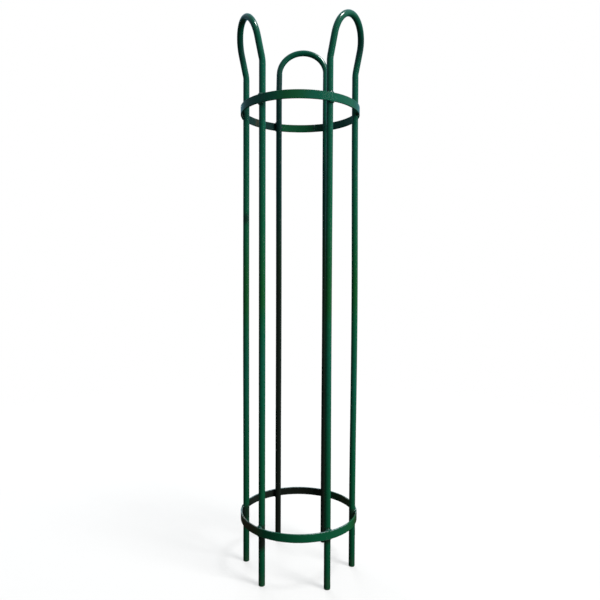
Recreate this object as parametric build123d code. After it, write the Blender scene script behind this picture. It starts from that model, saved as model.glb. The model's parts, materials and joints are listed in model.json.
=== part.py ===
from build123d import *
from math import cos, radians, sin, sqrt
import os

# Tree guard: three hairpin bars stand inside two flat hoops and are welded to them.
# Millimetres, +Z up. Origin on the hoops' axis, level with the cut ends of the six legs.

BAR_D = 16.0  # round bar
FLAT_WIDTH = 20.0  # flat bar, rolled the easy way
FLAT_THICK = 4.0
HOOP_OD = 300.0
HOOP_Z = {"lower_hoop": 135.0, "upper_hoop": 1160.0}  # mid-height of each hoop

LEG_SPACING = 128.0  # one hairpin's two legs, centre to centre
FOOT_LENGTH = 100.0  # the length of each leg that goes into the ground
FOOT_CHAMFER = 0.5  # the saw cut's edge, broken
FLARE_START = 1245.0  # height at which a hairpin starts to lean outward
FLARE_RADIUS = 60.0
FLARE_ANGLE = 12.5
HEAD_STRAIGHT = 48.0  # straight length between the flare and the round top
# degrees; the left one was welded 5 degrees off even spacing
HAIRPIN_AT = {"hairpin_rear": 90, "hairpin_left": 205, "hairpin_right": 330}

BEAD_RADIUS = 3.8  # weld beads on the hoops' edges
BEAD_STRAIGHT = 7.0
SEAM_GAP = 3.0  # between the two ends of a rolled hoop
SEAM_AT = 77  # degrees
SEAM_CROWN = (1.2, 3.5)  # how far it stands proud inside the hoop, and half its width

BAR_R = BAR_D / 2
HOOP_R = HOOP_OD / 2
HOOP_BORE_R = HOOP_R - FLAT_THICK
LEG_CIRCLE_R = HOOP_BORE_R - BAR_R  # the legs touch the hoops' inner faces
HALF_SPACING = LEG_SPACING / 2
LEG_OUT = sqrt(LEG_CIRCLE_R**2 - HALF_SPACING**2)  # axis to the plane of a hairpin's legs


def make_hairpin():
    """One bar bent over at the top. It faces +X, with a leg on each side of the X axis."""
    lean = radians(FLARE_ANGLE)
    along = Vector(sin(lean), 0, cos(lean))

    def on_flare(angle):
        out = LEG_OUT + FLARE_RADIUS * (1 - cos(angle))
        return Vector(out, -HALF_SPACING, FLARE_START + FLARE_RADIUS * sin(angle))

    foot, ground, bend = (Vector(LEG_OUT, -HALF_SPACING, z) for z in (0, FOOT_LENGTH, FLARE_START))
    flare_end = on_flare(lean)
    shoulder = flare_end + along * HEAD_STRAIGHT
    crown = shoulder + along * HALF_SPACING + Vector(0, HALF_SPACING, 0)
    other_shoulder = Vector(shoulder.X, -shoulder.Y, shoulder.Z)

    leg = [
        Line(foot, ground),
        Line(ground, bend),
        ThreePointArc(bend, on_flare(lean / 2), flare_end),
        Line(flare_end, shoulder),
    ]
    top = ThreePointArc(shoulder, crown, other_shoulder)
    other_leg = [mirror(line, about=Plane.XZ) for line in reversed(leg)]
    path = Wire([line.edge() for line in leg + [top] + other_leg])
    bar = sweep(Plane(origin=foot, z_dir=(0, 0, 1)) * Circle(BAR_R), path=path, clean=False)
    cut_ends = bar.faces().sort_by(Axis.Z)[:2]
    bar = chamfer([face.edge() for face in cut_ends], FOOT_CHAMFER)
    # its faces are listed from the ground up, so each foot comes before the leg above it
    return Solid(Shell(bar.faces().sort_by(Axis.Z)))


def leg_places():
    """Polar angle of each of the six legs."""
    half_angle = Vector(LEG_OUT, HALF_SPACING).get_angle(Vector(1, 0))
    return [at + side * half_angle for at in HAIRPIN_AT.values() for side in (-1, 1)]


def make_ring(z):
    """A closed band the size of a hoop, centred on height z."""
    band = Cylinder(HOOP_R, FLAT_WIDTH) - Cylinder(HOOP_BORE_R, FLAT_WIDTH)
    return Pos(0, 0, z) * band


def make_hoop_and_seam(z):
    """A rolled hoop, open by the seam's gap, and the weld that fills the gap."""
    ring = make_ring(z)
    at_seam = Rot(0, 0, SEAM_AT) * Pos((HOOP_R + HOOP_BORE_R) / 2, 0, z)
    slot = at_seam * Box(FLAT_THICK * 2, SEAM_GAP, FLAT_WIDTH * 2)
    hoop = ring - slot
    proud, half_width = SEAM_CROWN
    crown_at = Rot(0, 0, SEAM_AT) * Pos(HOOP_BORE_R, 0, z - FLAT_WIDTH / 2)
    crown = crown_at * extrude(Ellipse(proud, half_width), FLAT_WIDTH)
    seam = (ring & slot) + (crown - ring)
    return hoop, seam


def make_bead(at, edge_z, up):
    """A weld bead on a hoop's edge at one leg, against the leg's outer side. up is 1 or -1."""
    rod = Rot(90, 0, 0) * Cylinder(BEAD_RADIUS, BEAD_STRAIGHT)
    caps = [Pos(0, side * BEAD_STRAIGHT / 2, 0) * Sphere(BEAD_RADIUS) for side in (-1, 1)]
    reach = 4 * BEAD_RADIUS + BEAD_STRAIGHT
    beyond_edge = Pos(0, 0, up * reach / 2) * Box(reach, reach, reach)
    bead = (rod + caps) & beyond_edge
    leg = Pos(-BAR_R, 0, 0) * Cylinder(BAR_R, reach)
    return Rot(0, 0, at) * Pos(HOOP_BORE_R, 0, edge_z) * (bead - leg)


def save(shape, node):
    export_step(shape, f"parts/{node}.step")


os.makedirs("parts", exist_ok=True)

hairpin = make_hairpin()
for node, angle in HAIRPIN_AT.items():
    save(Rot(0, 0, angle) * hairpin, node)

for node, height in HOOP_Z.items():
    hoop, seam = make_hoop_and_seam(height)
    save(hoop, node)
    save(seam, f"{node}_seam_weld")
    for side, up in (("top", 1), ("bottom", -1)):
        edge = height + up * FLAT_WIDTH / 2
        save(Compound([make_bead(at, edge, up) for at in leg_places()]), f"{node}_{side}_welds")
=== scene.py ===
import json
from math import copysign, cos, pi, radians, sin, sqrt
from random import Random

import bmesh
import bpy
from bpy.props import FloatProperty, FloatVectorProperty, PointerProperty
from bpy.types import Operator, Panel, PropertyGroup
from mathutils import Matrix, Vector, noise


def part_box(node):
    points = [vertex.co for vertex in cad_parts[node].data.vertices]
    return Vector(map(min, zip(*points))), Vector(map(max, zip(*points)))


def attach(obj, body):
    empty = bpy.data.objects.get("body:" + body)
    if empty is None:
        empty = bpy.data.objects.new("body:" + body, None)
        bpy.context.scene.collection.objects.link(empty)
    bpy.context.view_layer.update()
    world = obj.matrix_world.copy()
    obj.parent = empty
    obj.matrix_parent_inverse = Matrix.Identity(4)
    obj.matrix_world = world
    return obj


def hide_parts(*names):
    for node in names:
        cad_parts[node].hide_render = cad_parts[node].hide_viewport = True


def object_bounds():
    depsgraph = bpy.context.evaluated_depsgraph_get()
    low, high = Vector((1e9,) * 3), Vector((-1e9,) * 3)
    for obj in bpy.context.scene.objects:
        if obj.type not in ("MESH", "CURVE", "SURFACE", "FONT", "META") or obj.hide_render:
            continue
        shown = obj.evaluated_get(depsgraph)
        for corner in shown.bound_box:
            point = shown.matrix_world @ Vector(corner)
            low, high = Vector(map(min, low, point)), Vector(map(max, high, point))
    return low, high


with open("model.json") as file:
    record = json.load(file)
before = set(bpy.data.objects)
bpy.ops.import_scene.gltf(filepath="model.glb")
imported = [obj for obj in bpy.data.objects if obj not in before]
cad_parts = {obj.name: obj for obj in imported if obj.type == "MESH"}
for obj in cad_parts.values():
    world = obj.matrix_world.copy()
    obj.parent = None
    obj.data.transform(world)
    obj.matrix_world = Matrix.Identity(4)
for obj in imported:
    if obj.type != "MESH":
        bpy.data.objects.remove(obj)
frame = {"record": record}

bl_info = {
    "name": "Tree Guard",
    "version": (1, 0, 0),
    "blender": (4, 5, 0),
    "location": "3D View > Sidebar > Tree Guard",
    "description": "Makes a welded and painted guard for a young tree, piece by piece",
    "category": "Add Mesh",
}

MM = 0.001
CAD_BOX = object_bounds()
MOUNTS = {mount["name"]: mount for mount in frame["record"]["mounts"]}
LEG_DIMS = MOUNTS["leg_circle"]["dims"]
HOOP_DIMS = MOUNTS["upper_hoop_band"]["dims"]

# which way each hairpin faces, counted from +X towards +Y
HAIRPINS = {"left": radians(205), "right": radians(330), "rear": radians(90)}
HOOPS = ("lower", "upper")
# how each hairpin's two legs are bowed, outward and along the hairpin, as shares of the most
BOWS = {
    "left": ((0.2, -0.1), (-0.3, -0.8)),
    "right": ((-0.3, 0.1), (0.9, 0.4)),
    "rear": ((0.2, -0.4), (0.3, -0.2)),
}
# where shade is painted at a hairpin's shoulder: on which leg, and how dark it is
SHADED_SHOULDERS = {"left": (-1, 0.70), "right": (1, 0.85)}
SHOULDER_HEIGHT = 1.318

# how finely the pieces are made
BAR_SIDES = 40
HOOP_STEPS = 288
BEAD_STEPS, BEAD_SIDES = 40, 24
SEAM_STEPS, SEAM_SIDES = 44, 28
RUN_STEPS, RUN_SIDES = 14, 12
SPECK_STEPS, SPECK_SIDES = 6, 10
FLOOR_SIDES = 64
# metres between a bar's rings on a leg, in the flare, below the round top and in it
LEG_STEP, FLARE_STEP, HEAD_STEP, TOP_STEP = 0.006, 0.0025, 0.005, 0.003


# ---------------------------------------------------------------- what a user would change


class GuardSizes(PropertyGroup):
    """Sizes of the bars, the hoops and the welds."""

    bar_radius: FloatProperty(
        name="Bar radius", description="Radius of the round bar", default=LEG_DIMS["stud_r_mm"] * MM,
        unit="LENGTH")
    leg_circle: FloatProperty(
        name="Leg circle", description="Radius of the circle that the six legs stand on",
        default=LEG_DIMS["pcd_mm"] / 2 * MM, unit="LENGTH")
    leg_spacing: FloatProperty(
        name="Leg spacing", description="Between the two legs of a hairpin, centre to centre",
        default=MOUNTS["rear_feet"]["dims"]["spacing_x_mm"] * MM, unit="LENGTH")
    flare_start: FloatProperty(
        name="Flare start", description="Height at which a hairpin starts to lean outward", default=1.245,
        unit="LENGTH")
    flare_radius: FloatProperty(
        name="Flare radius", description="Radius of the bend that leans a hairpin outward", default=0.060,
        unit="LENGTH")
    flare_angle: FloatProperty(
        name="Flare angle", description="How far a hairpin's head leans outward", default=radians(12.5),
        unit="ROTATION")
    head_straight: FloatProperty(
        name="Head straight", description="Straight length below a hairpin's round top", default=0.048,
        unit="LENGTH")
    bow: FloatProperty(
        name="Bow", description="Most that a long leg is out of true between the hoops", default=0.0024,
        unit="LENGTH")
    foot_rounding: FloatProperty(
        name="Foot rounding", description="Rounding that thick paint gives a cut end", default=0.0013,
        unit="LENGTH")
    hoop_radius: FloatProperty(
        name="Hoop radius", description="Outer radius of a hoop", default=HOOP_DIMS["r_mm"] * MM,
        unit="LENGTH")
    hoop_width: FloatProperty(
        name="Hoop width", description="Width of the hoops' flat bar", default=HOOP_DIMS["length_mm"] * MM,
        unit="LENGTH")
    hoop_thickness: FloatProperty(
        name="Hoop thickness", description="Thickness of the hoops' flat bar", default=0.004, unit="LENGTH")
    seam_angle: FloatProperty(
        name="Seam angle", description="Where a hoop's two ends meet, counted from +X towards +Y",
        default=radians(77), unit="ROTATION")
    seam_gap: FloatProperty(
        name="Seam gap", description="Gap between a hoop's two ends, which the weld fills", default=0.003,
        unit="LENGTH")
    bead_length: FloatProperty(
        name="Bead length", description="Length of a weld bead along a hoop's edge", default=0.0145,
        unit="LENGTH")
    bead_height: FloatProperty(
        name="Bead height", description="How far a weld bead stands off a hoop's edge", default=0.0040,
        unit="LENGTH")


class GuardPaint(PropertyGroup):
    """Colours of the paint, of what shows through it, and of the painted shade, reflection and glints."""

    enamel: FloatVectorProperty(
        name="Enamel", description="The green enamel where it is thick", subtype="COLOR", size=3,
        default=(0.0022, 0.077, 0.033))
    # bluer enamel, also the bluer painted reflection high and low on the bars and hoops
    cool_enamel_and_reflection: FloatVectorProperty(
        name="Cool enamel", description="The enamel's bluer patches", subtype="COLOR", size=3,
        default=(0.0018, 0.074, 0.046))
    # yellower painted reflection, in a band on the bars and in patches on the hoops
    yellow_reflection_tint: FloatVectorProperty(
        name="Warm enamel", description="The enamel's yellower patches", subtype="COLOR", size=3,
        default=(0.0048, 0.073, 0.016))
    # near-black painted shade on the bars and the lower hoop; the welds' sooty patches use it too
    near_black_shade_and_weld_patches: FloatVectorProperty(
        name="Mill scale", description="Black rolled steel under a thin coat", subtype="COLOR", size=3,
        default=(0.0075, 0.0085, 0.0072))
    # bluish-black painted shade high on the bars and inside the upper hoop
    bluish_black_shade: FloatVectorProperty(
        name="Blue scale", description="Steel blued by heat under a thin coat", subtype="COLOR", size=3,
        default=(0.0012, 0.0085, 0.0125))
    # also gives a painted highlight line along the hoops' edges
    primer: FloatVectorProperty(
        name="Primer", description="Grey primer where the enamel is scuffed through", subtype="COLOR",
        size=3, default=(0.17, 0.235, 0.245))
    # also stands in for painted glints on the welds
    bright_weld_and_glint: FloatVectorProperty(
        name="Bare weld", description="Weld metal where its ridges are worn bright", subtype="COLOR",
        size=3, default=(0.32, 0.42, 0.46))
    rust: FloatVectorProperty(
        name="Rust", description="Rust stain", subtype="COLOR", size=3, default=(0.075, 0.045, 0.020))


class GuardStage(PropertyGroup):
    """The floor, the lights and the camera."""

    floor_colour: FloatVectorProperty(
        name="Floor", description="Colour of the floor", subtype="COLOR", size=3,
        default=(0.24, 0.24, 0.24))
    floor_glow: FloatProperty(
        name="Floor glow", description="Light of the floor's own, which keeps it as pale as the backdrop",
        default=0.57)
    floor_reach: FloatProperty(
        name="Floor reach", description="Radius at which the floor has faded into the backdrop",
        default=2.6, unit="LENGTH")
    sun_strength: FloatProperty(
        name="Sun", description="Strength of the small bright light overhead, in watts a square metre",
        default=2.2)
    sun_width: FloatProperty(
        name="Sun width", description="Angle that the overhead light fills", default=radians(12),
        unit="ROTATION")
    side_light: FloatProperty(
        name="Side light", description="Power of the wide light on the right", default=215.0, unit="POWER")
    back_light: FloatProperty(
        name="Back light", description="Power of the wide light behind the guard", default=260.0,
        unit="POWER")
    sky_strength: FloatProperty(
        name="Sky", description="Strength of the soft light from all round", default=0.42)
    gleam_strength: FloatProperty(
        name="Gleam", description="Strength of what the gloss reflects", default=1.0)
    camera_lens: FloatProperty(
        name="Lens", description="Focal length of the camera", default=33.39, unit="CAMERA")
    camera_distance: FloatProperty(
        name="Distance", description="From the guard's axis to the camera", default=1.4248, unit="LENGTH")
    camera_height: FloatProperty(
        name="Height", description="Height of the camera over the feet", default=0.7428, unit="LENGTH")
    camera_turn: FloatProperty(
        name="Turn", description="How far the camera stands round to the right of the front",
        default=radians(2.58), unit="ROTATION")
    camera_tilt: FloatProperty(
        name="Tilt", description="How far the camera looks down", default=radians(2.24), unit="ROTATION")
    camera_side: FloatProperty(
        name="Side", description="How far the camera stands to the right of its line to the axis",
        default=0.00128, unit="LENGTH")
    camera_roll: FloatProperty(
        name="Roll", description="How far the camera leans to the left", default=radians(0.22),
        unit="ROTATION")


def sizes():
    return bpy.context.scene.guard_sizes


def paint():
    return bpy.context.scene.guard_paint


# ---------------------------------------------------------------- places on the guard


def compass(angle):
    """The level way at an angle, counted from +X towards +Y."""
    return Vector((cos(angle), sin(angle), 0))


def leg_place():
    """Where a hairpin's legs stand when it faces +X: how far out, and how far to each side."""
    half = sizes().leg_spacing / 2
    return sqrt(sizes().leg_circle**2 - half**2), half


def on_leg(angle, leg, turn, height):
    """A place on a leg's surface and the way it faces. turn is round the leg from the way the
    hairpin faces, and leg is -1 or 1."""
    out, half = leg_place()
    spin = Matrix.Rotation(angle, 3, "Z")
    face = spin @ compass(turn)
    return spin @ Vector((out, leg * half, height)) + face * sizes().bar_radius, face


def on_hoop(which, angle, radius=None):
    """A place on a hoop's outer face, or at another radius, at mid-height."""
    low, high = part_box(f"{which}_hoop")
    radius = radius or sizes().hoop_radius
    return Vector((radius * cos(angle), radius * sin(angle), (low.z + high.z) / 2))


def leg_angles():
    """Where each leg stands round the hoops."""
    offset = abs(Vector(leg_place()).angle_signed(Vector((1, 0))))
    return [angle + side * offset for angle in HAIRPINS.values() for side in (-1, 1)]


# ---------------------------------------------------------------- shader maths


class Wire:
    """A node's output. A sum made with it adds a Math node."""

    def __init__(self, tree, socket):
        self.tree, self.socket = tree, socket

    def maths(self, operation, *terms):
        node = self.tree.nodes.new("ShaderNodeMath")
        node.operation = operation
        for socket, term in zip(node.inputs, terms):
            plug(self.tree, socket, term)
        return Wire(self.tree, node.outputs[0])

    def __add__(self, other):
        return self.maths("ADD", self, other)

    def __sub__(self, other):
        return self.maths("SUBTRACT", self, other)

    def __rsub__(self, other):
        return self.maths("SUBTRACT", other, self)

    def __mul__(self, other):
        return self.maths("MULTIPLY", self, other)

    def __truediv__(self, other):
        return self.maths("DIVIDE", self, other)

    __radd__ = __add__
    __rmul__ = __mul__

    def __abs__(self):
        return self.maths("ABSOLUTE", self)

    def bigger(self, other):
        return self.maths("MAXIMUM", self, other)


def plug(tree, socket, value):
    """Links a wire to a socket, or sets the socket to a plain value."""
    if isinstance(value, Wire):
        tree.links.new(value.socket, socket)
    elif socket.type == "RGBA":
        socket.default_value = (*value[:3], 1.0)
    else:
        socket.default_value = value


class Sheet:
    """A node tree being filled."""

    def __init__(self, tree):
        self.tree = tree
        tree.nodes.clear()

    def node(self, kind, settings=None, sockets=None, output=0):
        """One node: its settings, then its sockets' values or links. stops sets a ramp's colours."""
        node = self.tree.nodes.new(kind)
        for name, value in (settings or {}).items():
            if name == "stops":
                set_ramp(node.color_ramp, value)
            else:
                setattr(node, name, value)
        for name, value in (sockets or {}).items():
            plug(self.tree, node.inputs[name], value)
        return Wire(self.tree, node.outputs[output])

    def step(self, value, low, high):
        """0 below low, 1 above high, and smooth between them. Where low is the greater, it falls."""
        rising = self.node("ShaderNodeMapRange", {"interpolation_type": "SMOOTHSTEP"}, {
            "Value": value, "From Min": min(low, high), "From Max": max(low, high)})
        return rising if low < high else 1 - rising

    def end(self, kind, surface):
        """Plugs a surface into the tree's output node."""
        ending = self.tree.nodes.new(kind)
        plug(self.tree, ending.inputs["Surface"], surface)


class Finish(Sheet):
    """A material being put together from nodes."""

    def __init__(self, name):
        self.material = bpy.data.materials.new(name)
        self.material.use_nodes = True
        super().__init__(self.material.node_tree)
        self.where = self.node("ShaderNodeTexCoord", output="Object")
        self.facing = self.node("ShaderNodeTexCoord", output="Normal")
        self.x, self.z = (
            self.node("ShaderNodeSeparateXYZ", {}, {"Vector": self.where}, axis) for axis in "XZ")

    def noise(self, scale, detail=3.0, roughness=0.5, stretch=None):
        """Soft noise from 0 to 1. scale is in lumps per metre; stretch scales each axis."""
        where = self.where
        if stretch:
            where = self.node("ShaderNodeMapping", {}, {"Vector": where, "Scale": stretch})
        return self.node("ShaderNodeTexNoise", {}, {
            "Vector": where, "Scale": scale, "Detail": detail, "Roughness": roughness})

    def mix(self, amount, first, second):
        """The first colour where amount is 0, the second where it is 1."""
        return self.node("ShaderNodeMix", {"data_type": "RGBA"}, {0: amount, 6: first, 7: second}, 2)

    def near(self, place, radius, soft):
        """1 within radius of a place and 0 beyond it, with a soft edge."""
        away = self.node("ShaderNodeVectorMath", {"operation": "DISTANCE"}, {
            0: self.where, 1: place}, "Value")
        return 1 - self.step(away, radius - soft, radius + soft)

    def inward(self):
        """How far a face looks towards the guard's axis, from -1 to 1."""
        flat = self.node("ShaderNodeVectorMath", {"operation": "MULTIPLY"}, {0: self.where, 1: (1, 1, 0)})
        out = self.node("ShaderNodeVectorMath", {"operation": "NORMALIZE"}, {0: flat})
        return 0 - self.node("ShaderNodeVectorMath", {"operation": "DOT_PRODUCT"}, {
            0: out, 1: self.facing}, "Value")

    def bump(self, height, distance, strength=1.0, under=None):
        """A normal raised by a height, over another normal where one is given."""
        sockets = {"Height": height, "Distance": distance, "Strength": strength}
        if under:
            sockets["Normal"] = under
        return self.node("ShaderNodeBump", {}, sockets)

    def painted(self, colour, roughness, normal, coat=0.5, coat_roughness=0.1):
        """Ends the material in one glossy surface."""
        surface = self.node("ShaderNodeBsdfPrincipled", {}, {
            "Base Color": colour, "Roughness": roughness, "Normal": normal, "IOR": 1.5,
            "Coat Weight": coat, "Coat Roughness": coat_roughness})
        self.end("ShaderNodeOutputMaterial", surface)
        return self.material


def set_ramp(ramp, stops):
    """Gives a colour ramp its stops, each a position and a colour."""
    while len(ramp.elements) < len(stops):
        ramp.elements.new(1.0)
    for element, (position, colour) in zip(ramp.elements, stops):
        element.position = position
        element.color = (*colour, 1.0)


# ---------------------------------------------------------------- paint


def shade(colour, amount):
    """A darker or brighter kind of a colour."""
    return tuple(amount * part for part in colour)


def enamel_film(finish, height_drift=1.0):
    """The green enamel's colour, with painted shade and reflection by height: darker towards the feet, a
    yellower band a little over halfway up, and bluer above and below it, all drifting at random.
    """
    colours = paint()
    plain, warm_reflection, cool = (tuple(tint) for tint in (colours.enamel, colours.yellow_reflection_tint, colours.cool_enamel_and_reflection))
    dull, duller, bright = shade(plain, 0.86), shade(plain, 0.60), shade(cool, 1.35)
    drift = (finish.noise(3.1, 2.0, stretch=(1.0, 1.0, 0.8)) - 0.5) * 0.22
    height = finish.z / CAD_BOX[1].z + drift * height_drift
    # painted shade darkens the bars towards the feet; the yellower band is a painted reflection of the
    # horizon, and the bluer stretches above and below it are painted reflection too
    colour = finish.node("ShaderNodeValToRGB", {"stops": [
        (0.00, duller), (0.18, dull), (0.36, cool), (0.445, plain), (0.49, warm_reflection), (0.53, warm_reflection),
        (0.64, plain), (0.80, cool), (1.00, cool)]}, {"Fac": height})
    mottle = finish.step(finish.noise(140.0, 4.0, 0.65), 0.35, 0.70)
    colour = finish.mix(mottle * 0.45, colour, duller)
    speckle = finish.step(finish.noise(520.0, 3.0, 0.7), 0.52, 0.72)
    return finish.mix(speckle * 0.30, colour, bright)


def inner_side(finish, streaks, low=-0.15, high=0.55):
    """1 where a face looks towards the guard's axis and 0 where it looks away, with a streaky edge."""
    return finish.step(finish.inward() + (streaks - 0.5) * 0.7, low, high)


def painted_inner_shade(finish, streaks):
    """Painted shade on the rear bar's inward side: darkest low down, and stronger on its left leg."""
    height = (finish.z + finish.x * 2.0) / CAD_BOX[1].z
    # strength of the painted shade up the bar
    shade_by_height = (
        (0.0, 0.97), (0.41, 0.95), (0.50, 0.84), (0.68, 0.80), (0.84, 0.74), (0.90, 0.20), (0.95, 0.0))
    stops = [(place, (amount,) * 3) for place, amount in shade_by_height]
    thin = finish.node("ShaderNodeValToRGB", {"stops": stops}, {"Fac": height})
    return inner_side(finish, streaks, -0.35, 0.45) * thin


def painted_hoop_shadow(finish, side):
    """Painted shadow just under each hoop and painted shade just over it, by the welds. The left bar has
    most, under the lower hoop.
    """
    height = finish.z + (finish.noise(60.0, 4.0, 0.6) - 0.5) * 0.022
    over = 0.010
    hoop_band_shadow = 0.0
    for which, under, amount in (("lower", 0.020, 0.7), ("upper", 0.014, 0.35)):
        low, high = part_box(f"{which}_hoop")
        shaded_band = finish.step(height, low.z - under, low.z) * finish.step(height, high.z + over, high.z)
        hoop_band_shadow = (shaded_band * amount).bigger(hoop_band_shadow)
    # the darkest painted shadow, on the left hairpin's leg just under the lower hoop
    if side == "left":
        worst, _face = on_leg(HAIRPINS["left"], 1, 0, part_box("lower_hoop")[0].z - 0.012)
        hoop_band_shadow = hoop_band_shadow.bigger(finish.near(worst, 0.024, 0.009) * 0.95)
    return hoop_band_shadow


def enamel_skin(finish, streaks):
    """Orange peel, sags that run down the bar, and grains of dust caught in the paint."""
    orange_peel = finish.noise(420.0, 2.0, 0.5)
    sags = finish.noise(55.0, 2.0, 0.4, stretch=(1.0, 1.0, 0.25))
    skin = finish.bump(orange_peel, 0.00004, 0.8)
    skin = finish.bump(sags + streaks * 0.3, 0.00018, 0.6, skin)
    grains = finish.node("ShaderNodeTexVoronoi", {"feature": "F1"}, {
        "Vector": finish.where, "Scale": 190.0, "Randomness": 1.0})
    nibs = 1 - finish.step(grains, 0.03, 0.13)
    return finish.bump(nibs, 0.00005, 0.4, skin)


def bar_enamel(side):
    """Gloss enamel on one hairpin's round bar, with painted shadow and shade, a dark spot, and what has
    worn or soiled it.
    """
    finish = Finish(f"gloss_enamel_on_{side}_bar")
    colours = paint()
    streaks = finish.noise(60.0, 3.0, 0.6, stretch=(1.0, 1.0, 0.12))
    colour = enamel_film(finish)
    painted_shade_and_spot = painted_hoop_shadow(finish, side)
    # painted shade on the rear bar's inward side
    if side == "rear":
        painted_shade_and_spot = painted_shade_and_spot.bigger(painted_inner_shade(finish, streaks))
    # a dark spot on the left hairpin's far leg
    if side == "left":
        dark_leg_spot, _face = on_leg(HAIRPINS["left"], -1, radians(60), 0.895)
        painted_shade_and_spot = painted_shade_and_spot.bigger(finish.near(dark_leg_spot, 0.012, 0.009) * 0.70)
    # painted shade at the shoulder, where the leg leans out and faces down
    if side in SHADED_SHOULDERS:
        leg, amount = SHADED_SHOULDERS[side]
        shoulder, _face = on_leg(HAIRPINS[side], leg, 0, SHOULDER_HEIGHT)
        painted_shade_and_spot = painted_shade_and_spot.bigger(finish.near(shoulder, 0.036, 0.022) * (0.5 + 0.5 * streaks) * amount)
    # the painted shade's colour: near-black low down, bluish-black high up
    scale = finish.mix(finish.step(finish.z, 0.78, 0.98), colours.near_black_shade_and_weld_patches, colours.bluish_black_shade)
    colour = finish.mix(painted_shade_and_spot, colour, scale)
    rubbed = finish.step(finish.noise(230.0, 5.0, 0.75, stretch=(1, 1, 0.30)), 0.66, 0.74)
    rubbed = rubbed * finish.step(finish.noise(9.0, 2.0), 0.52, 0.68)
    colour = finish.mix(rubbed * 0.30, colour, colours.primer)
    soil = finish.step(finish.z + finish.noise(45.0, 4.0) * 0.030, 0.060, 0.012) * 0.25
    colour = finish.mix(soil * finish.step(finish.noise(320.0, 4.0, 0.7), 0.42, 0.62), colour, colours.rust)
    roughness = 0.20 + finish.noise(35.0, 3.0) * 0.12 + painted_shade_and_spot * 0.04 + rubbed * 0.20 + soil * 0.5
    return finish.painted(colour, roughness, enamel_skin(finish, streaks), 0.45)


def hoop_enamel(which):
    """Gloss enamel on flat bar: scuffed on its corners, where the primer also gives a painted highlight
    line along the edges; with this hoop's painted shade, painted reflection and stains.
    """
    finish = Finish(f"gloss_enamel_on_{which}_hoop")
    colours = paint()
    low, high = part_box(f"{which}_hoop")
    middle, half = (low.z + high.z) / 2, (high.z - low.z) / 2
    streaks = finish.noise(60.0, 3.0, 0.6, stretch=(1.0, 1.0, 0.3))
    colour = enamel_film(finish, 2.0)
    stains = {"lower": lower_hoop_stains, "upper": upper_hoop_stains}[which]
    thin, warm_reflection, rubbed, rusty = stains(finish, streaks)
    # yellower painted reflection
    colour = finish.mix(warm_reflection, colour, tuple(colours.yellow_reflection_tint))
    # painted shade on the inner face: near-black in the lower hoop, bluish-black in the upper
    colour = finish.mix(thin, colour, {"lower": colours.near_black_shade_and_weld_patches, "upper": colours.bluish_black_shade}[which])

    corner = finish.step(abs(finish.z - middle), half - 0.0012, half - 0.0002)
    # scuffed corners, raised so the primer also gives a painted highlight line along the edges
    chips_and_edge_glint = corner * finish.step(finish.noise(260.0, 5.0, 0.7), 0.44, 0.58)
    chips_and_edge_glint = chips_and_edge_glint * finish.step(finish.noise(16.0, 2.0), 0.34, 0.52) * {"lower": 1.0, "upper": 0.4}[which]
    scratches = finish.step(finish.noise(300.0, 4.0, 0.7, stretch=(0.35, 0.35, 1.6)), 0.48, 0.58)
    scuffed = (chips_and_edge_glint * 0.85).bigger(scratches * rubbed)
    colour = finish.mix(scuffed, colour, colours.primer)
    colour = finish.mix(rusty, colour, colours.rust)
    roughness = 0.22 + finish.noise(35.0, 3.0) * 0.12 + thin * 0.05 + scuffed * 0.20 + rusty * 0.3
    return finish.painted(colour, roughness, enamel_skin(finish, streaks), 0.45)


def lower_hoop_stains(finish, streaks):
    """Painted shade inside, less of it at the right, and a painted dark reflection at the left of the
    front; a yellower painted reflection at the right of the front. Rubbed on the left.
    """

    def mark(at, reach, soft):
        """A round mark on the hoop's outer face, at an angle in degrees."""
        return finish.near(on_hoop("lower", radians(at)), reach, soft)

    # painted shade on the inner face, stronger on the left
    thin = inner_side(finish, streaks) * (0.38 + 0.60 * finish.step(finish.x, 0.08, 0.05))
    patchy = finish.step(finish.noise(70.0, 5.0, 0.7), 0.30, 0.56)
    # a painted dark reflection at the left of the front
    painted_dark = mark(207, 0.050, 0.026) * (0.35 + 0.5 * patchy)
    # a yellower painted reflection at the right of the front
    warm_reflection = mark(336, 0.030, 0.022) * 0.6
    rubbed = mark(186, 0.031, 0.014).bigger(mark(2, 0.014, 0.010) * 0.6)
    rusty = mark(214, 0.048, 0.020) * (0.4 + 0.6 * patchy) * 0.50
    rusty = rusty.bigger(mark(350, 0.022, 0.014) * patchy * 0.40)
    rusty = rusty.bigger(mark(26, 0.048, 0.024) * patchy * 0.40)
    return thin.bigger(painted_dark), warm_reflection, rubbed, rusty


def upper_hoop_stains(finish, streaks):
    """Painted shade inside, but for a stretch at the back, and with a rusty patch on the left; yellower
    painted reflection on the front and on that stretch.
    """
    inside = sizes().hoop_radius - sizes().hoop_thickness

    def mark(at, reach, soft, radius=inside):
        """A round mark on the hoop's inner face, or at another radius, at an angle in degrees."""
        return finish.near(on_hoop("upper", radians(at), radius), reach, soft)

    # a stretch at the back left without painted shade
    unshaded_stretch = mark(95, 0.049, 0.010)
    # painted shade on the inner face, stronger on the left
    thin = inner_side(finish, streaks) * (1 - unshaded_stretch)
    thin = thin * (0.18 + 0.66 * finish.step(finish.x, 0.02, -0.04))
    # yellower painted reflection
    warm_reflection = (mark(265, 0.032, 0.022, sizes().hoop_radius) * 0.6).bigger(unshaded_stretch * 0.55)
    rubbed = mark(180, 0.020, 0.012)
    patchy = finish.step(finish.noise(150.0, 5.0, 0.7), 0.40, 0.58)
    rusty = mark(145, 0.009, 0.006) * patchy * 0.6
    return thin, warm_reflection, rubbed, rusty


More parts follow.
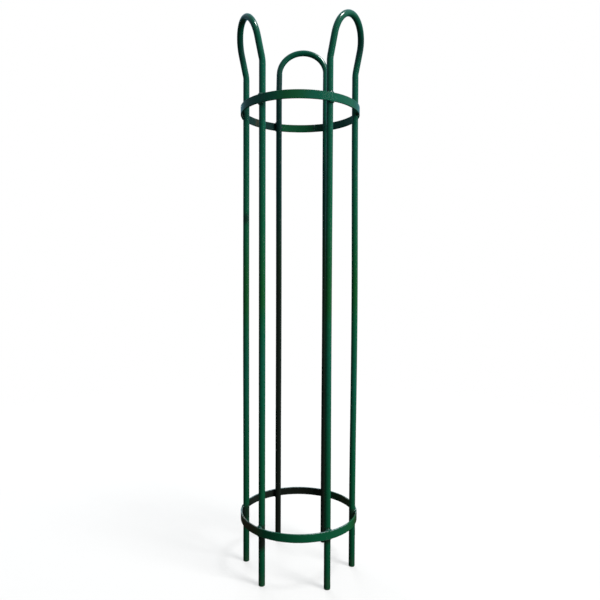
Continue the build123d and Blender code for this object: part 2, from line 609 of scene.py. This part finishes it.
def weld_enamel():
    """Enamel over weld metal: pitted, sooty in patches and worn bright in others, which also stands in for
    painted glints; painted shade inside the lower hoop. All welds share it.
    """
    name = "enamel_on_weld_beads"
    if name in bpy.data.materials:
        return bpy.data.materials[name]
    finish = Finish(name)
    colours = paint()
    patchy = finish.noise(420.0, 5.0, 0.7)
    colour = finish.mix(finish.step(patchy, 0.40, 0.66), colours.cool_enamel_and_reflection, colours.near_black_shade_and_weld_patches)
    # worn bright spots, which also give painted glints
    worn = finish.step(finish.noise(700.0, 3.0, 0.6), 0.60, 0.70)
    # a painted highlight on top of the upper hoop's seam
    seam = on_hoop("upper", sizes().seam_angle, sizes().hoop_radius - sizes().hoop_thickness)
    seam_top = seam + Vector((0, 0, sizes().hoop_width / 2))
    worn = worn.bigger(finish.near(seam_top, 0.0040, 0.0015) * 0.8)
    colour = finish.mix(worn * 0.9, colour, colours.bright_weld_and_glint)
    # inside the lower hoop the welds get the same painted shade as the hoop's inner face
    painted_dark = finish.step(finish.z, 0.30, 0.25) * finish.step(finish.inward(), -0.15, 0.55)
    colour = finish.mix(painted_dark * 0.9, colour, colours.near_black_shade_and_weld_patches)
    pits = finish.bump(finish.noise(900.0, 4.0, 0.65), 0.00020, 0.7)
    roughness = 0.12 + patchy * 0.20
    return finish.painted(colour, roughness, pits, 0.8, 0.05)


# ---------------------------------------------------------------- meshes


class Lump:
    """Points and faces of one piece, from one or more closed forms."""

    def __init__(self):
        self.points, self.faces = [], []

    def loft(self, rings):
        """A closed form through rings of as many points each, flat at both ends."""
        start, count = len(self.points), len(rings[0])
        for ring in rings:
            self.points += ring
        for row in range(len(rings) - 1):
            here, there = start + row * count, start + (row + 1) * count
            for i in range(count):
                j = (i + 1) % count
                self.faces.append((here + i, here + j, there + j, there + i))
        last = start + (len(rings) - 1) * count
        self.faces.append(tuple(start + i for i in reversed(range(count))))
        self.faces.append(tuple(last + i for i in range(count)))

    def place(self, name, material, slot, *nodes):
        """Makes the piece, which stands for these nodes of the frame."""
        mesh = bpy.data.meshes.new(name)
        mesh.from_pydata([tuple(point) for point in self.points], [], self.faces)
        solid = bmesh.new()
        solid.from_mesh(mesh)
        bmesh.ops.recalc_face_normals(solid, faces=solid.faces)
        solid.to_mesh(mesh)
        solid.free()
        mesh.shade_smooth()
        mesh.materials.append(material)
        piece = bpy.data.objects.new(name, mesh)
        bpy.context.scene.collection.objects.link(piece)
        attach(piece, "root")
        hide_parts(*nodes)


def ripple(*place):
    """Smooth noise from -1 to 1."""
    return noise.noise(Vector(place))


def ring_round(centre, across, up, radius_at):
    """A bar's points round a centre. radius_at gives the radius in a direction."""
    ring = []
    for i in range(BAR_SIDES):
        turn = 2 * pi * i / BAR_SIDES
        direction = across * cos(turn) + up * sin(turn)
        ring.append(centre + direction * radius_at(direction))
    return ring


def run_of(start, end, spacing):
    """Numbers from start to end, about spacing apart, without the last."""
    steps = max(1, round(abs(end - start) / spacing))
    return [start + (end - start) * i / steps for i in range(steps)]


def hairpin_line():
    """A hairpin's centreline, foot to foot. It faces +X, with a leg each side of the X axis."""
    s = sizes()
    out, half = leg_place()
    lean = s.flare_angle
    along = Vector((sin(lean), 0, cos(lean)))

    def on_flare(angle):
        rise = s.flare_start + s.flare_radius * sin(angle)
        return Vector((out + s.flare_radius * (1 - cos(angle)), -half, rise))

    line = [Vector((out, -half, z)) for z in run_of(LEG_STEP, s.flare_start, LEG_STEP)]
    line += [on_flare(angle) for angle in run_of(0, lean, FLARE_STEP / s.flare_radius)]
    line += [on_flare(lean) + along * way for way in run_of(0, s.head_straight, HEAD_STEP)]
    middle = on_flare(lean) + along * s.head_straight + Vector((0, half, 0))
    for angle in run_of(0, pi / 2, TOP_STEP / half):
        line.append(middle + along * half * sin(angle) - Vector((0, half * cos(angle), 0)))
    crown = middle + along * half
    return line + [crown] + [Vector((p.x, -p.y, p.z)) for p in reversed(line)]


def bent(line, bows):
    """The line with its two legs bowed between the hoops, as long bars are. bows are as (out, along)."""
    low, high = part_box("lower_hoop")[1].z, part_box("upper_hoop")[0].z
    moved = []
    for point in line:
        share = min(1.0, max(0.0, (point.z - low) / (high - low)))
        out, along = bows[0 if point.y < 0 else 1]
        moved.append(point + Vector((out, along, 0)) * sin(pi * share) ** 2)
    return moved


def bar_rings(line, seed):
    """Rings along a bent bar: its cut ends rounded over with paint, its bends a little flattened."""
    s = sizes()
    under_size, unevenness, most_flattened = 0.00008, 0.00005, 0.030
    rings = []
    across = Vector((1, 0, 0))
    for i, centre in enumerate(line):
        before, after = line[max(0, i - 1)], line[min(len(line) - 1, i + 1)]
        tangent = (after - before).normalized()
        across = (across - tangent * across.dot(tangent)).normalized()
        up = tangent.cross(across)
        pull = Vector((0, 0, 0))
        if 0 < i < len(line) - 1:
            step = (after - before).length / 2
            pull = (after + before - 2 * centre) / step**2
        flattened = min(1.0, pull.length * s.leg_spacing / 2) * most_flattened
        towards = pull.normalized() if pull.length > 1 else Vector((0, 0, 0))

        def radius_at(direction):
            spot = centre * 38 + direction * 0.6
            uneven = unevenness * (ripple(*spot) + 0.5 * ripple(seed, *(spot.xy * 2.3)))
            return s.bar_radius * (1 - flattened * direction.dot(towards) ** 2) - under_size + uneven

        rings.append(ring_round(centre, across, up, radius_at))
    return foot_rings(rings[0]) + rings + list(reversed(foot_rings(rings[-1])))


def foot_rings(ring):
    """Rings from the middle of a cut end out to the leg's first ring, rounded over at the edge."""
    s = sizes()
    centre = sum(ring, Vector()) / len(ring)
    flat_height, last_height = 0.00002, 0.0032
    profile = [(share * (s.bar_radius - s.foot_rounding), flat_height) for share in (0.15, 0.55)]
    for turn in (0, 18, 36, 54, 72, 90):
        radius = s.bar_radius - s.foot_rounding * (1 - sin(radians(turn)))
        profile.append((radius, s.foot_rounding * (1 - cos(radians(turn)))))
    profile.append((s.bar_radius, last_height))
    rings = []
    for radius, height in profile:
        flat = [(point - centre) * (radius / s.bar_radius) for point in ring]
        rings.append([Vector((centre.x + p.x, centre.y + p.y, height)) for p in flat])
    return rings


def paint_run(lump, foot, out, length, width, proud):
    """A run of paint that has sagged down a surface and set: thin above, thick at its lower end."""
    side = Vector((0, 0, 1)).cross(out).normalized()
    rings = []
    for i in range(RUN_STEPS + 1):
        share = i / RUN_STEPS
        fat = sqrt(max(0.0, sin(pi * min(1.0, share**0.45 * 0.5 + 0.5 * share)))) * (1.15 - 0.75 * share)
        fat = max(fat, 0.02)
        centre = foot + Vector((0, 0, length * share))
        ring = []
        for j in range(RUN_SIDES):
            turn = 2 * pi * j / RUN_SIDES
            ring.append(centre + side * (width / 2 * fat * cos(turn)) + out * (proud * fat * sin(turn)))
        rings.append(ring)
    lump.loft(rings)


def make_hairpin(side):
    """One bent bar, with three runs of paint on each leg."""
    rng = Random({"left": 11, "right": 23, "rear": 37}[side])
    sunk = 0.00012
    spin = Matrix.Rotation(HAIRPINS[side], 3, "Z")
    bows = [(out * sizes().bow, along * sizes().bow) for out, along in BOWS[side]]
    line = [spin @ point for point in bent(hairpin_line(), bows)]
    lump = Lump()
    lump.loft(bar_rings(line, rng.uniform(0, 9)))
    for leg in (-1, 1):
        for height in (rng.uniform(0.002, 0.004), rng.uniform(0.05, 0.09), rng.uniform(1.05, 1.12)):
            place, face = on_leg(HAIRPINS[side], leg, rng.uniform(-2.2, 2.2), height)
            length, width = rng.uniform(0.010, 0.024), rng.uniform(0.0016, 0.0026)
            paint_run(lump, place - face * sunk, face, length, width, rng.uniform(0.00030, 0.00050))
    return lump


# ---------------------------------------------------------------- hoops and welds


def flat_bar_outline(width, thickness, rounding=0.0007):
    """Outline of the flat bar's section as (out, up), anticlockwise, with rounded corners."""
    half_t, half_w = thickness / 2, width / 2
    outline = []
    for out, up, first in ((1, 1, 0), (-1, 1, 90), (-1, -1, 180), (1, -1, 270)):
        corner = (out * (half_t - rounding), up * (half_w - rounding))
        for turn in (0, 22.5, 45, 67.5, 90):
            angle = radians(first + turn)
            outline.append((corner[0] + rounding * cos(angle), corner[1] + rounding * sin(angle)))
    stretches = []
    for i, (out, up) in enumerate(outline):
        stretches.append((out, up))
        after = outline[(i + 1) % len(outline)]
        if abs(after[1] - up) > width / 2:
            stretches += [(out, up + (after[1] - up) * share) for share in (0.05, 0.35, 0.65, 0.95)]
    return stretches


def hoop_rings(which, seed):
    """Rings of the rolled flat bar, from one end at the seam round to the other."""
    s = sizes()
    low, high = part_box(f"{which}_hoop")
    outline = flat_bar_outline(s.hoop_width, s.hoop_thickness)
    half_gap = s.seam_gap / 2 / s.hoop_radius
    first = s.seam_angle + half_gap
    around = 2 * pi - 2 * half_gap
    middle = s.hoop_radius - s.hoop_thickness / 2
    flat_depth, wave_height, end_length = 0.00022, 0.00025, 0.016
    rings = []
    for i in range(HOOP_STEPS + 1):
        angle = first + around * i / HOOP_STEPS
        out = compass(angle)
        from_end = min(i, HOOP_STEPS - i) / HOOP_STEPS * around * s.hoop_radius
        # a hand roller leaves small flats, and bends the last of each end a little too far
        flats = flat_depth * (ripple(cos(angle) * 3, sin(angle) * 3, seed) - 0.7)
        tuck = 0.0
        if from_end < end_length:
            tuck = (0.0005 if i > HOOP_STEPS / 2 else 0.0001) * (1 - from_end / end_length) ** 2
        wave = wave_height * ripple(cos(angle) * 2, sin(angle) * 2, seed + 5)
        centre = out * (middle + flats - tuck) + Vector((0, 0, (low.z + high.z) / 2 + wave))
        rings.append([centre + out * o + Vector((0, 0, u)) for o, u in outline])
    return rings


def weld_bead(lump, angle, edge, up, rng):
    """A bead on a hoop's edge, laid round the outer side of a leg, with the puddle's ripples."""
    s = sizes()
    length = s.bead_length * rng.uniform(0.88, 1.12)
    height = s.bead_height * rng.uniform(0.86, 1.0)
    depth = s.hoop_thickness * rng.uniform(0.92, 1.05)
    shift, pitch = rng.uniform(-0.001, 0.001), rng.uniform(0.0015, 0.0019)
    wrap = 0.017  # radius of the arc in which it bends round the leg
    out, side, rise = compass(angle), compass(angle + pi / 2), Vector((0, 0, up))
    corner = out * (s.hoop_radius - s.hoop_thickness + 0.0002) + Vector((0, 0, edge))
    rings = []
    for i in range(BEAD_STEPS + 1):
        share = i / BEAD_STEPS * 2 - 1
        swell = (1 - abs(share) ** 2.6) ** 0.5 if abs(share) < 1 else 0.0
        swell = max(0.03, swell * (1 + 0.10 * ripple(share * 3, angle * 7, up)))
        ring = []
        way = share * length / 2 + shift
        for j in range(BEAD_SIDES):
            turn = 2 * pi * j / BEAD_SIDES
            away, high = cos(turn), sin(turn)
            scallop = abs(sin(pi * (way + 0.0011 * high * high - 0.0005 * away) / pitch))
            grow = swell * (0.90 + 0.13 * scallop**0.6)
            bend = wrap - sqrt(wrap**2 - min(abs(way), 0.99 * wrap) ** 2)
            point = corner + side * way - out * bend
            point += out * (away * grow * depth * (0.86 if away > 0 else 1.0))
            point += rise * (high * grow * height * (1.0 if high > 0 else 0.35))
            ring.append(point)
        rings.append(ring)
    lump.loft(rings)


def spatter(lump, angle, edge, up, rng):
    """A few specks of weld metal that stuck to the hoop's outer face and to the leg."""
    s = sizes()
    for _ in range(rng.randint(2, 5)):
        radius = rng.uniform(0.0003, 0.0007)
        if rng.random() < 0.6:
            place = compass(angle + rng.uniform(-0.13, 0.13)) * (s.hoop_radius - 0.0003)
            place.z = edge - up * rng.uniform(0.001, 0.008)
        else:
            face = compass(angle + rng.uniform(-0.9, 0.9))
            place = compass(angle) * s.leg_circle + face * (s.bar_radius - 0.0001)
            place.z = edge + up * rng.uniform(0.006, 0.022)
        speck(lump, place, radius)


def speck(lump, centre, radius):
    """A small round blob."""
    rings = []
    for i in range(SPECK_STEPS + 1):
        tall = radians(84) * (2 * i / SPECK_STEPS - 1)
        ring = []
        for j in range(SPECK_SIDES):
            way = compass(2 * pi * j / SPECK_SIDES) * cos(tall) + Vector((0, 0, sin(tall)))
            ring.append(centre + way * radius)
        rings.append(ring)
    lump.loft(rings)


def seam_bead(which):
    """The weld that closes a hoop: proud and rippled inside, dressed nearly flush outside."""
    s = sizes()
    low, _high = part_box(f"{which}_hoop")
    out, side = compass(s.seam_angle), compass(s.seam_angle + pi / 2)
    proud, short, pitch, half_wide = 0.0012, 0.00015, 0.0018, 0.0032
    outer, inner = s.hoop_radius - 0.0001, s.hoop_radius - s.hoop_thickness - proud
    middle, half_deep = (outer + inner) / 2, (outer - inner) / 2
    tall = s.hoop_width - 2 * short
    seed = {"lower": 8, "upper": 3}[which]
    rings = []
    for i in range(SEAM_STEPS + 1):
        share = i / SEAM_STEPS
        end = min(1.0, (0.5 - abs(share - 0.5)) * tall / 0.0012)
        end = sqrt(max(0.02, 1 - (1 - end) ** 2))
        height = low.z + short + tall * share
        ring = []
        for j in range(SEAM_SIDES):
            turn = 2 * pi * j / SEAM_SIDES
            # a squared-off round, so the gap is filled up to the hoop's outer face
            a, b = (copysign(abs(part) ** 0.62, part) for part in (cos(turn), sin(turn)))
            scallop = abs(sin(pi * (height + 0.0010 * abs(b)) / pitch)) ** 0.6
            deep = half_deep * (0.86 + 0.14 * scallop if a < 0 else 1.0) * (0.6 + 0.4 * end)
            wide = half_wide * (1 + 0.10 * ripple(share * 6, a, seed)) * end
            ring.append(out * (middle + a * deep) + side * (b * wide) + Vector((0, 0, height)))
        rings.append(ring)
    lump = Lump()
    lump.loft(rings)
    return lump


# ---------------------------------------------------------------- operators


class GUARD_OT_hairpins(Operator):
    """Bend the three hairpin bars and paint them"""

    bl_idname = "guard.hairpins"
    bl_label = "Hairpin bars"

    def execute(self, context):
        for side in HAIRPINS:
            make_hairpin(side).place(
                f"{side}_hairpin_bar", bar_enamel(side), "gloss_green_paint", f"hairpin_{side}")
        return {"FINISHED"}


class GUARD_OT_hoops(Operator):
    """Roll the two flat hoops and paint them"""

    bl_idname = "guard.hoops"
    bl_label = "Hoops"

    def execute(self, context):
        for seed, which in enumerate(HOOPS):
            lump = Lump()
            lump.loft(hoop_rings(which, 2.5 + seed))
            lump.place(f"{which}_hoop_band", hoop_enamel(which), "gloss_green_paint", f"{which}_hoop")
        return {"FINISHED"}


class GUARD_OT_seams(Operator):
    """Weld each hoop's two ends together"""

    bl_idname = "guard.seams"
    bl_label = "Hoop seams"

    def execute(self, context):
        enamel = weld_enamel()
        for which in HOOPS:
            seam_bead(which).place(f"{which}_seam_bead", enamel, "painted_weld", f"{which}_hoop_seam_weld")
        return {"FINISHED"}


class GUARD_OT_beads(Operator):
    """Weld the six legs to each hoop, over and under it"""

    bl_idname = "guard.beads"
    bl_label = "Leg welds"

    def execute(self, context):
        enamel = weld_enamel()
        rng = Random(71)
        for which in HOOPS:
            low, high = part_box(f"{which}_hoop")
            for part, up, edge in (("top", 1, high.z), ("bottom", -1, low.z)):
                lump = Lump()
                for angle in leg_angles():
                    weld_bead(lump, angle, edge, up, rng)
                    spatter(lump, angle, edge, up, rng)
                lump.place(f"{which}_{part}_beads", enamel, "painted_weld", f"{which}_hoop_{part}_welds")
        return {"FINISHED"}


def hang(name, kind, place, aim):
    """A light at a place, aimed at another."""
    light = bpy.data.objects.new(name, bpy.data.lights.new(name, kind))
    bpy.context.scene.collection.objects.link(light)
    light.location = place
    light.rotation_euler = (Vector(aim) - Vector(place)).to_track_quat("-Z", "Y").to_euler()
    return light


def make_lights(stage):
    """A small bright light overhead, and wide ones on the right and behind that leave no reflection."""
    sun = hang("sun", "SUN", (0.36, -0.20, 0.89), (0, 0, 0))
    sun.data.energy = stage.sun_strength
    sun.data.angle = stage.sun_width
    side = hang("side_light", "AREA", (3.6, -2.6, 1.9), (0, 0, 0.8))
    side.data.shape = "RECTANGLE"
    side.data.size, side.data.size_y = 2.0, 2.6
    side.data.energy = stage.side_light
    side.data.color = (1.0, 0.98, 0.93)
    side.visible_glossy = False
    back = hang("back_light", "AREA", (-1.6, 4.2, 2.0), (0, 0, 0.8))
    back.data.shape = "RECTANGLE"
    back.data.size, back.data.size_y = 3.0, 2.6
    back.data.energy = stage.back_light
    back.visible_glossy = False


def make_backdrop(stage):
    """A plain white world. The guard is lit by a softer sky, and its gloss reflects a dark yard."""
    world = bpy.data.worlds.new("studio")
    bpy.context.scene.world = world
    world.use_nodes = True
    sheet = Sheet(world.node_tree)
    way = sheet.node("ShaderNodeTexCoord", output="Generated")
    across, along, rise = (sheet.node("ShaderNodeSeparateXYZ", {}, {"Vector": way}, axis) for axis in "XYZ")

    def glow(colour, strength):
        return sheet.node("ShaderNodeBackground", {}, {"Color": colour, "Strength": strength})

    def both(first, second):
        return sheet.node("ShaderNodeAddShader", {}, {0: first, 1: second})

    def either(amount, first, second):
        return sheet.node("ShaderNodeMixShader", {}, {0: amount, 1: first, 2: second})

    sky = sheet.node("ShaderNodeValToRGB", {"stops": [
        (0.0, (0.07, 0.07, 0.06)), (0.42, (0.34, 0.36, 0.32)), (0.56, (0.9, 0.95, 0.9)),
        (1.0, (1.4, 1.45, 1.5))]}, {"Fac": rise * 0.5 + 0.5})
    lit = glow(sky, (0.62 + 0.62 * sheet.step(across, -0.8, 0.7)) * stage.sky_strength)

    # the bright part of the sky is behind the guard, over a dark yard; what faces the front is dark
    overhead = sheet.step(rise, 0.12, 0.75) * (0.12 + 0.88 * sheet.step(along, -0.5, 0.5))
    behind = sheet.step(along, 0.45, 0.95) * sheet.step(rise, -0.08, 0.18)
    left = sheet.step(across, -0.55, -1.0) * sheet.step(rise, -0.10, 0.22)
    right = sheet.step(across, 0.62, 0.97) * sheet.step(rise, -0.7, 0.1)
    strength = stage.gleam_strength
    gleam = both(glow((0.014, 0.020, 0.014), strength), glow((0.26, 0.38, 0.46), overhead * strength))
    gleam = both(gleam, glow((0.10, 0.24, 0.34), behind * strength))
    gleam = both(gleam, glow((0.010, 0.050, 0.085), left * strength))
    gleam = both(gleam, glow((0.14, 0.27, 0.22), right * strength))

    glossy, direct = (
        sheet.node("ShaderNodeLightPath", output=f"Is {kind} Ray") for kind in ("Glossy", "Camera"))
    seen = either(glossy, lit, gleam)
    sheet.end("ShaderNodeOutputWorld", either(direct, seen, glow((1, 1, 1), 1.0)))


def make_floor(stage):
    """A round pale floor just under the feet, which fades out into the backdrop."""
    finish = Finish("pale_floor")
    grain = finish.noise(6.0, 3.0)
    colour = tuple(stage.floor_colour)
    duller = shade(colour, 0.985)
    from_middle = finish.node("ShaderNodeVectorMath", {"operation": "LENGTH"}, {0: finish.where}, "Value")
    solid = 1 - finish.step(from_middle, 0.25 * stage.floor_reach, stage.floor_reach)
    surface = finish.node("ShaderNodeBsdfPrincipled", {}, {
        "Base Color": finish.mix(grain, colour, duller), "Roughness": 0.75,
        "Normal": finish.bump(grain, 0.0002), "Emission Color": (1.0, 1.0, 1.0),
        "Emission Strength": stage.floor_glow, "Alpha": solid})
    finish.end("ShaderNodeOutputMaterial", surface)
    mesh = bpy.data.meshes.new("floor")
    corners = [stage.floor_reach * compass(2 * pi * i / FLOOR_SIDES) for i in range(FLOOR_SIDES)]
    mesh.from_pydata([tuple(corner) for corner in corners], [], [tuple(range(FLOOR_SIDES))])
    mesh.materials.append(finish.material)
    floor = bpy.data.objects.new("floor", mesh)
    bpy.context.scene.collection.objects.link(floor)
    floor.location.z = CAD_BOX[0].z - 0.0001
    floor.visible_glossy = False
    floor.visible_diffuse = False


def make_camera(stage):
    """The camera in front of the guard, a little over half its height."""
    data = bpy.data.cameras.new("camera")
    data.lens = stage.camera_lens
    data.clip_start, data.clip_end = 0.05, 200
    camera = bpy.data.objects.new("camera", data)
    bpy.context.scene.collection.objects.link(camera)
    turn = Matrix.Rotation(stage.camera_turn, 4, "Z")
    place = turn @ Vector((stage.camera_side, -stage.camera_distance, stage.camera_height))
    roll = Matrix.Rotation(stage.camera_roll, 4, "Z")
    tilt = Matrix.Rotation(radians(90) - stage.camera_tilt, 4, "X")
    camera.matrix_world = Matrix.Translation(place) @ turn @ tilt @ roll
    bpy.context.scene.camera = camera


class GUARD_OT_stage(Operator):
    """Lay the floor, hang the lights and set up the camera"""

    bl_idname = "guard.stage"
    bl_label = "Stage"

    def execute(self, context):
        stage = context.scene.guard_stage
        make_backdrop(stage)
        make_lights(stage)
        make_floor(stage)
        make_camera(stage)
        context.scene.view_settings.view_transform = "Standard"
        return {"FINISHED"}


class GUARD_PT_panel(Panel):
    """Lists the guard's pieces"""

    bl_label = "Tree Guard"
    bl_idname = "GUARD_PT_panel"
    bl_space_type = "VIEW_3D"
    bl_region_type = "UI"
    bl_category = "Tree Guard"

    def draw(self, context):
        layout = self.layout
        for group in (context.scene.guard_sizes, context.scene.guard_paint, context.scene.guard_stage):
            column = layout.column(align=True)
            for name in group.__annotations__:
                column.prop(group, name)
        for operator in OPERATORS:
            layout.operator(operator.bl_idname)


OPERATORS = (GUARD_OT_stage, GUARD_OT_hairpins, GUARD_OT_hoops, GUARD_OT_seams, GUARD_OT_beads)
GROUPS = {"guard_sizes": GuardSizes, "guard_paint": GuardPaint, "guard_stage": GuardStage}


def register():
    for thing in (*GROUPS.values(), *OPERATORS, GUARD_PT_panel):
        bpy.utils.register_class(thing)
    for name, group in GROUPS.items():
        setattr(bpy.types.Scene, name, PointerProperty(type=group))


def unregister():
    for name in GROUPS:
        delattr(bpy.types.Scene, name)
    for thing in (GUARD_PT_panel, *reversed(OPERATORS), *reversed(GROUPS.values())):
        bpy.utils.unregister_class(thing)


def main():
    register()
    bpy.ops.guard.stage()
    bpy.ops.guard.hairpins()
    bpy.ops.guard.hoops()
    bpy.ops.guard.seams()
    bpy.ops.guard.beads()


if __name__ == "__main__":
    main()
